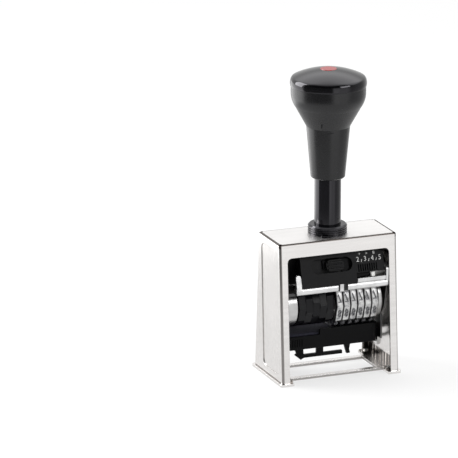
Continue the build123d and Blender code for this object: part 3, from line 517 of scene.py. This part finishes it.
finishes = {
    "frontSheet": nickelPlate("nickelPlate", (0.05, 1.0, 1.0), caseFolds),
    "baseSheet": nickelPlate("nickelBase", (0.08, 1.0, 1.0), None, baseEdgeShade),
    "zinc": castSilver("brightZinc", (0.72, 0.72, 0.71), rough=0.26),
    "gloss": glossBlack("glossBlack"),
    "cap": glossBlack("capBlack", (0.001, 0.001, 0.0014)),
    "grip": satinBlack("gripBlack", (0.005, 0.005, 0.006), rough=0.26, pebble=0.15, lustre=1.5),
    "moulding": satinBlack("mouldedBlack", (0.0016, 0.0016, 0.002), rough=0.38, pebble=0.30, lustre=1.21),
    "cover": satinBlack("coverBlack", (0.004, 0.004, 0.0045), rough=0.36, pebble=0.30, lustre=1.27),
    "blackened": castSilver("blackenedSteel", (0.20, 0.20, 0.20), rough=0.28),
    "dull": castSilver("dullSteel", (0.30, 0.30, 0.295), rough=0.34),
    "rings": satinBlack("ringBlack", (0.004, 0.004, 0.005), rough=0.30, pebble=0.15),
    "cast": castSilver("castSilver", (0.86, 0.86, 0.86), rough=0.28, shadows=barShadows),
    "disc": castSilver("discSilver", (0.66, 0.66, 0.655), rough=0.30),
    "wheel": wheelSilver("wheelSilver"),
    "typeInk": plainPaint("typeInk", (0.17, 0.17, 0.18), rough=0.45),
    "red": plainPaint("redEnamel", (0.42, 0.028, 0.03), rough=0.06, lustre=1.8),
    "white": plainPaint("whitePaint", (0.86, 0.86, 0.84), rough=0.4),
    "felt": feltInk("inkedFelt"),
    "rubber": satinBlack("softRubber", (0.02, 0.02, 0.02), rough=0.7, pebble=0.4),
}
print("materials ready:", len(finishes))

nodeFinish = {
    "frontSheet": ["case_shell"],
    "baseSheet": ["base_plate"],
    "zinc": ["base_screws", "collar_nut", "guide_bracket_left", "guide_bracket_right", "bracket_rivets",
             "guide_rods", "return_springs", "cam_pins", "handle_screw", "stem_pin", "cheek_screws",
             "tie_rod", "wheel_axle", "axle_clips", "detent_comb", "pawl_sleeve", "pawl_fingers"],
    "dull": ["cheek_left", "cheek_right"],
    "gloss": ["stem", "collar"],
    "cap": ["knob_cap"],
    "grip": ["grip"],
    "moulding": ["carriage_block", "selector_strip", "pad_tray", "pad_clip"],
    "cover": ["front_cover", "selector_button"],
    "blackened": ["pad_arm_left", "pad_arm_right"],
    "rings": ["blank_rings"],
    "cast": ["frame_bar"],
    "disc": ["end_disc_left", "end_disc_right"],
    "wheel": [f"number_wheel_{i + 1}" for i in range(6)],
    "red": ["knob_inlay"],
    "white": ["selector_pointer"],
    "felt": ["ink_pad"],
    "rubber": ["stop_washer"],
}
for finish, names in nodeFinish.items():
    for name in names:
        slots = nodes[name].material_slots
        if not slots:
            nodes[name].data.materials.append(finishes[finish])
        for slot in slots:
            slot.material = finishes[finish]
print("CAD nodes painted")


# Helpers for pieces
def finished(name, mesh, finish, body, instead=()):
    piece = bpy.data.objects.new(name, mesh)
    bpy.context.collection.objects.link(piece)
    if finish:
        mesh.materials.clear()
        mesh.materials.append(finishes[finish])
    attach(piece, body)
    if instead:
        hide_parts(*instead)
    return piece


def smoothed(bm, sharp=math.pi):
    # smooth shading, broken at edges that turn by more than sharp
    for face in bm.faces:
        face.smooth = True
    for edge in bm.edges:
        edge.smooth = edge.calc_face_angle(0) < sharp


def meshOf(bm, name):
    mesh = bpy.data.meshes.new(name)
    bm.to_mesh(mesh)
    bm.free()
    return mesh


def lathe(name, profile, steps, sharp):
    # a solid of revolution about Z through a closed outline of (radius, height) in millimetres
    bm = bmesh.new()
    turns = [2 * math.pi * i / steps for i in range(steps)]
    rings = []
    for radius, height in profile:
        if radius < 1e-6:
            rings.append([bm.verts.new((0, 0, height * mm))])
        else:
            rings.append([bm.verts.new((radius * mm * math.cos(turn), radius * mm * math.sin(turn),
                                        height * mm)) for turn in turns])
    closed = zip(rings, rings[1:]) if len(rings[0]) == 1 else zip(rings, rings[1:] + rings[:1])
    for low, high in closed:
        for i in range(steps):
            j = (i + 1) % steps
            if len(low) == 1 and len(high) == 1:
                continue
            if len(low) == 1:
                bm.faces.new((low[0], high[j], high[i]))
            elif len(high) == 1:
                bm.faces.new((low[i], low[j], high[0]))
            else:
                bm.faces.new((low[i], low[j], high[j], high[i]))
    bmesh.ops.recalc_face_normals(bm, faces=bm.faces)
    smoothed(bm, sharp)
    return meshOf(bm, name)


# Helpers for what repeats
class Growth:
    # a geometry node tree under construction
    def __init__(self, name, inputs=()):
        self.tree = bpy.data.node_groups.new(name, "GeometryNodeTree")
        self.tree.interface.new_socket("Geometry", in_out="OUTPUT", socket_type="NodeSocketGeometry")
        self.ids = {}
        for label, value in inputs:
            kind = "NodeSocketInt" if isinstance(value, int) else "NodeSocketFloat"
            socket = self.tree.interface.new_socket(label, in_out="INPUT", socket_type=kind)
            socket.default_value = value
            self.ids[label] = socket.identifier
        self.enter = self.tree.nodes.new("NodeGroupInput")
        self.leave = self.tree.nodes.new("NodeGroupOutput")

    def given(self, label):
        return self.enter.outputs[label]

    def node(self, kind, settings=None, values=None):
        made = self.tree.nodes.new(kind)
        for name, value in (settings or {}).items():
            setattr(made, name, value)
        pairs = values.items() if isinstance(values, dict) else enumerate(values or [])
        for name, value in pairs:
            self.feed(made.inputs[name], value)
        return made

    def feed(self, target, value):
        if isinstance(value, bpy.types.NodeSocket):
            self.tree.links.new(value, target)
        elif isinstance(value, bpy.types.Node):
            self.tree.links.new(value.outputs[0], target)
        elif isinstance(value, list):
            for part in value:
                self.feed(target, part)
        else:
            target.default_value = value

    def number(self, operation, *values):
        return self.node("ShaderNodeMath", {"operation": operation}, list(values)).outputs[0]

    def vector(self, x=0.0, y=0.0, z=0.0):
        return self.node("ShaderNodeCombineXYZ", None, [x, y, z]).outputs[0]

    def grown(self, geometry, material, settings=None):
        # closes the tree, runs it on an empty mesh and returns the result as a plain mesh
        solid = self.node("GeometryNodeRealizeInstances", None, {0: geometry})
        painted = self.node("GeometryNodeSetMaterial", None, {"Geometry": solid, "Material": material})
        self.feed(self.leave.inputs[0], painted)
        seedMesh = bpy.data.meshes.new(self.tree.name)
        holder = bpy.data.objects.new(self.tree.name, seedMesh)
        bpy.context.collection.objects.link(holder)
        modifier = holder.modifiers.new("grow", "NODES")
        modifier.node_group = self.tree
        for label, value in (settings or {}).items():
            modifier[self.ids[label]] = value
        graph = bpy.context.evaluated_depsgraph_get()
        mesh = bpy.data.meshes.new_from_object(holder.evaluated_get(graph))
        mesh.name = self.tree.name
        bpy.data.objects.remove(holder)
        return mesh


# Raised digits on the number wheels
capShare = 0.69          # height of a capital over the font's size
typeFaces = {
    "characters": "0123456789",
    "capHeight": 4.0,      # mm
    "narrowing": 0.66,
    "relief": 0.62,        # from a little inside the flat
    "faceRadius": 12.5,
    "step": 36.0,          # degrees from one digit to the next
    "wheels": 6,
    "firstMiddle": 1.65,   # x of the first wheel's rim
    "pitch": 3.6,
    "axleHeight": 34.5,
    "weld": 0.002,
}


def growTypeRing(sizes):
    growth = Growth("typeFace", [("Cap height", 0.004), ("Narrowing", 0.6), ("Relief", 0.0006),
                                 ("Radius", 0.0125), ("Step", 0.628)])
    size = growth.number("DIVIDE", growth.given("Cap height"), capShare)
    letters = growth.node("GeometryNodeStringToCurves", {"pivot_mode": "MIDPOINT"},
                          {"String": sizes["characters"], "Size": size})
    middle = growth.node("ShaderNodeVectorMath", {"operation": "ADD"},
                         [growth.node("GeometryNodeInputPosition"), letters.outputs["Pivot Point"]])
    back = growth.node("ShaderNodeVectorMath", {"operation": "SCALE"}, {0: middle, "Scale": -1.0})
    centred = growth.node("GeometryNodeTranslateInstances", None,
                          {"Instances": letters.outputs[0], "Translation": back, "Local Space": False})
    narrow = growth.vector(growth.given("Narrowing"), 1.0, 1.0)
    slim = growth.node("GeometryNodeScaleInstances", None,
                       {"Instances": centred, "Scale": narrow, "Center": (0, 0, 0), "Local Space": False})
    shape = growth.node("GeometryNodeFillCurve", None, {"Curve": slim})
    raised = growth.node("GeometryNodeExtrudeMesh", None,
                         {"Mesh": shape, "Offset Scale": growth.given("Relief"), "Individual": False})
    floor = growth.node("GeometryNodeFlipFaces", None, {"Mesh": shape})
    drop = growth.vector(0.0, 0.0, growth.number("MULTIPLY", growth.given("Radius"), -1.0))
    order = growth.node("GeometryNodeInputIndex")
    turn = growth.vector(growth.number("MULTIPLY", order, growth.given("Step")))
    ring = []
    for part in (raised, floor):
        low = growth.node("GeometryNodeTranslateInstances", None,
                          {"Instances": part, "Translation": drop, "Local Space": False})
        ring.append(growth.node("GeometryNodeRotateInstances", None, {
            "Instances": low, "Rotation": turn, "Pivot Point": (0, 0, 0), "Local Space": False}))
    whole = growth.node("GeometryNodeJoinGeometry", None, {0: ring})
    solid = growth.node("GeometryNodeRealizeInstances", None, {0: whole})
    closed = growth.node("GeometryNodeMergeByDistance", None, {0: solid, "Distance": sizes["weld"] * mm})
    return growth.grown(closed, finishes["typeInk"], {
        "Cap height": sizes["capHeight"] * mm, "Narrowing": sizes["narrowing"],
        "Relief": sizes["relief"] * mm, "Radius": sizes["faceRadius"] * mm,
        "Step": math.radians(sizes["step"])})


def placeTypeFaces(sizes):
    ring = growTypeRing(sizes)
    for index in range(sizes["wheels"]):
        mesh = ring.copy()
        middle = sizes["firstMiddle"] + index * sizes["pitch"]
        mesh.transform(Matrix.Translation((middle * mm, 0, sizes["axleHeight"] * mm)))
        finished(f"typeFace_{index + 1}", mesh, None, f"wheel_{index + 1}")


placeTypeFaces(typeFaces)
print("type faces placed")


# Numbers of the selector's scale, printed on the sloping cover
coverSlope = {"footY": -13.75, "footZ": 45.92, "tilt": 17.0}    # mm, and degrees from upright
scaleMarks = {           # mm, and degrees for the lean
    "numbers": "2345",
    "numberHeight": 2.3,
    "numbersX": 11.1, "numbersZ": 56.2, "numberPitch": 3.77,
    "numberWidth": 0.9,    # of the letters' own
    "ticksX": 13.0, "tickWidth": 0.26, "tickHeight": 1.3, "tickLean": -18, "tickDrop": 0.6,
    "upper": ["+", "=", "8"],
    "upperHeight": 1.5,
    "upperX": (12.2, 15.8, 19.5), "upperZ": 58.6,
    "thickness": 0.05,
}


def onSlope(mesh, x, z, slope):
    # lays a flat drawing, made in XY, on the cover with its middle at x and z
    tilt = math.radians(slope["tilt"])
    y = slope["footY"] + (z - slope["footZ"]) * math.tan(tilt)
    mesh.transform(Matrix.Translation((x * mm, y * mm, z * mm)) @ Matrix.Rotation(math.pi / 2 - tilt, 4, "X"))
    return mesh


def wordMesh(name, text, capHeight, depth, width=1.0):
    # letters as a closed mesh, centred on the origin, facing +Z
    curve = bpy.data.curves.new(name, "FONT")
    curve.body, curve.size, curve.extrude = text, capHeight / capShare, depth / 2
    curve.align_x, curve.align_y = "CENTER", "CENTER"
    curve.resolution_u = 4
    holder = bpy.data.objects.new(name, curve)
    bpy.context.collection.objects.link(holder)
    mesh = bpy.data.meshes.new_from_object(holder.evaluated_get(bpy.context.evaluated_depsgraph_get()))
    bpy.data.objects.remove(holder)
    mesh.transform(Matrix.Diagonal((width, 1, 1, 1)))
    return mesh


weldWithin = 0.001 * mm  # points of joined meshes that are closer than this become one


def joined(name, meshes):
    bm = bmesh.new()
    for mesh in meshes:
        bm.from_mesh(mesh)
        bpy.data.meshes.remove(mesh)
    bmesh.ops.remove_doubles(bm, verts=bm.verts, dist=weldWithin)
    return meshOf(bm, name)


def slabMesh(width, height, depth, soft=0.2):
    # a slab whose edges are bevelled by a share of its least size
    bm = bmesh.new()
    bmesh.ops.create_cube(bm, size=1.0, matrix=Matrix.Diagonal((width, height, depth, 1)))
    bmesh.ops.bevel(bm, geom=bm.edges[:], offset=min(width, height, depth) * soft, segments=1, affect="EDGES")
    return meshOf(bm, "slab")


def placeScale(sizes, slope):
    parts = []
    for index, character in enumerate(sizes["numbers"]):
        x = sizes["numbersX"] + index * sizes["numberPitch"]
        word = wordMesh("digit", character, sizes["numberHeight"] * mm, sizes["thickness"] * mm,
                        sizes["numberWidth"])
        parts.append(onSlope(word, x, sizes["numbersZ"], slope))
        if index < len(sizes["numbers"]) - 1:
            tick = slabMesh(sizes["tickWidth"] * mm, sizes["tickHeight"] * mm, sizes["thickness"] * mm)
            tick.transform(Matrix.Rotation(math.radians(sizes["tickLean"]), 4, "Z"))
            tickX = sizes["ticksX"] + index * sizes["numberPitch"]
            parts.append(onSlope(tick, tickX, sizes["numbersZ"] - sizes["tickDrop"], slope))
    for x, mark in zip(sizes["upperX"], sizes["upper"]):
        word = wordMesh("mark", mark, sizes["upperHeight"] * mm, sizes["thickness"] * mm)
        parts.append(onSlope(word, x, sizes["upperZ"], slope))
    finished("scaleMarks", joined("scaleMarks", parts), "white", "carriage")


placeScale(scaleMarks, coverSlope)
print("scale printed")


# CAD parts with their edges broken
softParts = {            # metres and radians
    "weld": 0.0000001, "flat": math.radians(0.5),       # what is merged before the bevel
    "sharpest": 0.5, "shortest": 0.0005,                # edges that turn more and are longer than this get it
    "width": 0.00015, "looseShare": 0.8, "segments": 2, "facet": 0.38,
    "parts": {
        **{f"number_wheel_{i + 1}": (f"wheel_{i + 1}", "wheel", "wheel_metal", True) for i in range(6)},
        "carriage_block": ("carriage", "moulding", "matte_black", True),
        "cheek_left": ("carriage", "dull", "bright_steel", True),
        "cheek_right": ("carriage", "dull", "bright_steel", True),
        "pad_arm_left": ("ink_pad_holder", "blackened", "matte_black", False),
        "pad_arm_right": ("ink_pad_holder", "blackened", "matte_black", False),
    },
}


def softenedMesh(node, sizes, clamped):
    # clamped bevels stop where they would meet; the others are narrower
    bm = bmesh.new()
    bm.from_mesh(nodes[node].data)
    bmesh.ops.remove_doubles(bm, verts=bm.verts, dist=sizes["weld"])
    bmesh.ops.dissolve_limit(bm, angle_limit=sizes["flat"], verts=bm.verts, edges=bm.edges)
    edges = [edge for edge in bm.edges if edge.is_manifold and edge.calc_face_angle(0) > sizes["sharpest"]
             and edge.calc_length() > sizes["shortest"]]
    width = sizes["width"] * (1.0 if clamped else sizes["looseShare"])
    bmesh.ops.bevel(bm, geom=edges, offset=width, offset_type="OFFSET", segments=sizes["segments"],
                    profile=0.5, affect="EDGES", clamp_overlap=clamped)
    smoothed(bm, sizes["facet"])
    return meshOf(bm, node)


def placeSoftParts(sizes):
    for node, (body, finish, slot, clamped) in sizes["parts"].items():
        finished(f"{node}_soft", softenedMesh(node, sizes, clamped), finish, body, [node])


placeSoftParts(softParts)
print("edges broken:", len(softParts["parts"]))


# Grooved collar under the handle
collarRing = {
    "foot": 68.1, "height": 4.5, "radius": 9.3, "chamfer": 0.7, "footEase": 0.12,   # mm
    "bore": 6.35, "spigotRadius": 7.5, "spigotLength": 7.3,
    "grooves": 3, "firstGroove": 0.55, "groovePitch": 1.0, "grooveDepth": 0.36, "grooveWidth": 0.6,
    "lugWidth": 3.2, "lugReach": 1.6, "lugHeight": 0.9, "lugSunk": 0.8, "lugTurn": 240,
    "steps": 160, "sharp": 0.5,
}


def placeCollar(sizes):
    foot, top, radius = sizes["foot"], sizes["foot"] + sizes["height"], sizes["radius"]
    spigotFoot, ease = foot - sizes["spigotLength"], sizes["footEase"]
    outline = [(sizes["bore"], spigotFoot), (sizes["spigotRadius"], spigotFoot),
               (sizes["spigotRadius"], foot), (radius - ease, foot), (radius, foot + ease)]
    quarter, inner = sizes["grooveWidth"] / 4, radius - sizes["grooveDepth"]
    for k in range(sizes["grooves"]):
        low = foot + sizes["firstGroove"] + k * sizes["groovePitch"]
        outline += [(radius, low), (inner, low + quarter), (inner, low + 3 * quarter),
                    (radius, low + 4 * quarter)]
    outline += [(radius, top - sizes["chamfer"]), (radius - sizes["chamfer"], top), (sizes["bore"], top)]
    ring = lathe("collarRing", outline, sizes["steps"], sizes["sharp"])
    middle = radius + sizes["lugReach"] / 2 - sizes["lugSunk"] / 2
    lugLength = sizes["lugReach"] + sizes["lugSunk"]
    lug = slabMesh(lugLength * mm, sizes["lugWidth"] * mm, sizes["lugHeight"] * mm)
    lug.transform(Matrix.Rotation(math.radians(sizes["lugTurn"]), 4, "Z")
                  @ Matrix.Translation((middle * mm, 0, (foot + sizes["lugHeight"] / 2) * mm)))
    finished("collarRing", joined("collarRing", [ring, lug]), "gloss", "case", ["collar"])


placeCollar(collarRing)
print("collar turned")


# Domed cap of the handle
knobCap = {
    "foot": 139.7, "rise": 8.1,            # mm; where it meets the grip, and its middle above that
    "ringRadius": 16.8, "ringRise": 4.3,   # where the dome turns into the side
    "radius": 18.1, "sideRise": 1.0, "tuck": 0.2,
    "recessRadius": 3.92, "recessDepth": 0.8,
    "plugRadius": 14.5, "plugDrop": 4.7,
    "screwRoomRadius": 3.5, "screwRoomDrop": 2.9,
    "pullOut": 0.95, "pullUp": 1.7,        # handles of the curve between dome and side
    "domeSteps": 24, "bendSteps": 16, "steps": 176, "sharp": 0.6,
}


def placeKnobCap(sizes):
    foot, top = sizes["foot"], sizes["foot"] + sizes["rise"]
    fall = sizes["rise"] - sizes["ringRise"]
    ball = (sizes["ringRadius"] ** 2 + fall ** 2) / (2 * fall)
    outline = [(0, top - sizes["recessDepth"]), (sizes["recessRadius"], top - sizes["recessDepth"])]
    span = sizes["ringRadius"] - sizes["recessRadius"]
    for k in range(sizes["domeSteps"] + 1):
        radius = sizes["recessRadius"] + span * k / sizes["domeSteps"]
        outline.append((radius, top - ball + math.sqrt(ball ** 2 - radius ** 2)))
    slope = math.asin(sizes["ringRadius"] / ball)
    start = Vector((sizes["ringRadius"], foot + sizes["ringRise"]))
    end = Vector((sizes["radius"], foot + sizes["sideRise"]))
    lean = start + Vector((math.cos(slope), -math.sin(slope))) * sizes["pullOut"]
    rise = end + Vector((0, sizes["pullUp"]))
    for k in range(1, sizes["bendSteps"] + 1):
        t = k / sizes["bendSteps"]
        point = start * (1 - t) ** 3 + lean * 3 * t * (1 - t) ** 2 + rise * 3 * t * t * (1 - t) + end * t ** 3
        outline.append(tuple(point))
    plugFoot, roomTop = foot - sizes["plugDrop"], foot - sizes["screwRoomDrop"]
    outline += [(sizes["radius"] - sizes["tuck"], foot), (sizes["plugRadius"], foot),
                (sizes["plugRadius"], plugFoot), (sizes["screwRoomRadius"], plugFoot),
                (sizes["screwRoomRadius"], roomTop), (0, roomTop)]
    cap = lathe("knobCap", outline, sizes["steps"], sizes["sharp"])
    finished("knobCap", cap, "cap", "carriage", ["knob_cap"])


placeKnobCap(knobCap)
print("knob capped")


# Felt block of the ink pad, dented where the type rests on it
inkPad = {
    "low": (-22.6, -6.9, 18.16), "high": (21.3, 6.9, 21.56),   # mm
    "cells": (84, 30, 7), "rounding": 0.7, "crown": 0.16, "waist": 0.14,
    "dentsX": [typeFaces["firstMiddle"] + typeFaces["pitch"] * i for i in range(typeFaces["wheels"])],
    "dentWidth": 1.5, "dentLength": 5.4, "dent": 0.16,
}


def placeInkPad(sizes):
    low, high = Vector(sizes["low"]), Vector(sizes["high"])
    middle, half = (low + high) / 2, (high - low) / 2
    bm = bmesh.new()
    bmesh.ops.create_cube(bm, size=2.0)
    for axis, cells in enumerate(sizes["cells"]):
        along = [e for e in bm.edges if abs(e.verts[0].co[axis] - e.verts[1].co[axis]) > 1.0]
        bmesh.ops.subdivide_edges(bm, edges=along, cuts=cells - 1, use_grid_fill=True)
    core = half - Vector((1, 1, 1)) * sizes["rounding"]
    for vert in bm.verts:
        full = Vector(c * h for c, h in zip(vert.co, half))
        inner = Vector(max(-k, min(k, c)) for c, k in zip(full, core))
        out = full - inner
        spot = inner + out.normalized() * sizes["rounding"] if out.length > 1e-6 else full
        acrossX, acrossY = 1 - (spot.x / half.x) ** 2, 1 - (spot.y / half.y) ** 2
        lift = max(0.0, spot.z / half.z)
        spot.y -= math.copysign(sizes["waist"], spot.y) * acrossX * (abs(spot.y) / half.y) ** 4
        spot.z -= lift * sizes["crown"] * (1 - acrossX * acrossY)
        for x in sizes["dentsX"]:
            away = ((spot.x + middle.x - x) / sizes["dentWidth"]) ** 4 + (spot.y / sizes["dentLength"]) ** 4
            spot.z -= lift * sizes["dent"] * math.exp(-away)
        vert.co = (spot + middle) * mm
    bmesh.ops.recalc_face_normals(bm, faces=bm.faces)
    smoothed(bm)
    piece = finished("inkPad", meshOf(bm, "inkPad"), "felt", "ink_pad_holder", ["ink_pad"])


placeInkPad(inkPad)
print("ink pad filled")


# Return springs on the guide rods
springs = {              # mm
    "places": ((-27.3, 9.6), (27.3, 9.6)),
    "foot": 19.3, "head": 50.3,
    "coilRadius": 1.27, "wireRadius": 0.2,
    "turns": 21.0, "turnSteps": 26, "wireSides": 7,
    "fixedEnd": 19.3, "shortest": 0.285,   # of its length, when the handle is right down
}


def growSpring(sizes):
    growth = Growth("returnSpring", [("Coil radius", 0.001), ("Wire radius", 0.0002), ("Turns", 20.0),
                                     ("Length", 0.03)])
    coil = growth.given("Coil radius")
    path = growth.node("GeometryNodeCurveSpiral", None, {
        "Resolution": sizes["turnSteps"], "Rotations": growth.given("Turns"), "Start Radius": coil,
        "End Radius": coil, "Height": growth.given("Length")})
    outline = growth.node("GeometryNodeCurvePrimitiveCircle", None, {
        "Resolution": sizes["wireSides"], "Radius": growth.given("Wire radius")})
    wire = growth.node("GeometryNodeCurveToMesh", None,
                       {0: path, "Profile Curve": outline, "Fill Caps": True})
    smooth = growth.node("GeometryNodeSetShadeSmooth", None, {"Geometry": wire})
    return growth.grown(smooth, finishes["zinc"], {
        "Coil radius": sizes["coilRadius"] * mm, "Wire radius": sizes["wireRadius"] * mm,
        "Turns": sizes["turns"], "Length": (sizes["head"] - sizes["foot"] - 2 * sizes["wireRadius"]) * mm})


def placeSprings(sizes):
    coil = growSpring(sizes)
    parts = []
    for x, y in sizes["places"]:
        mesh = coil.copy()
        mesh.transform(Matrix.Translation((x * mm, y * mm, (sizes["foot"] + sizes["wireRadius"]) * mm)))
        parts.append(mesh)
    mesh = joined("returnSprings", parts)
    piece = finished("returnSprings", mesh, "zinc", "case", ["return_springs"])
    for face in piece.data.polygons:
        face.use_smooth = True
    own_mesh(piece)


placeSprings(springs)
print("springs wound")
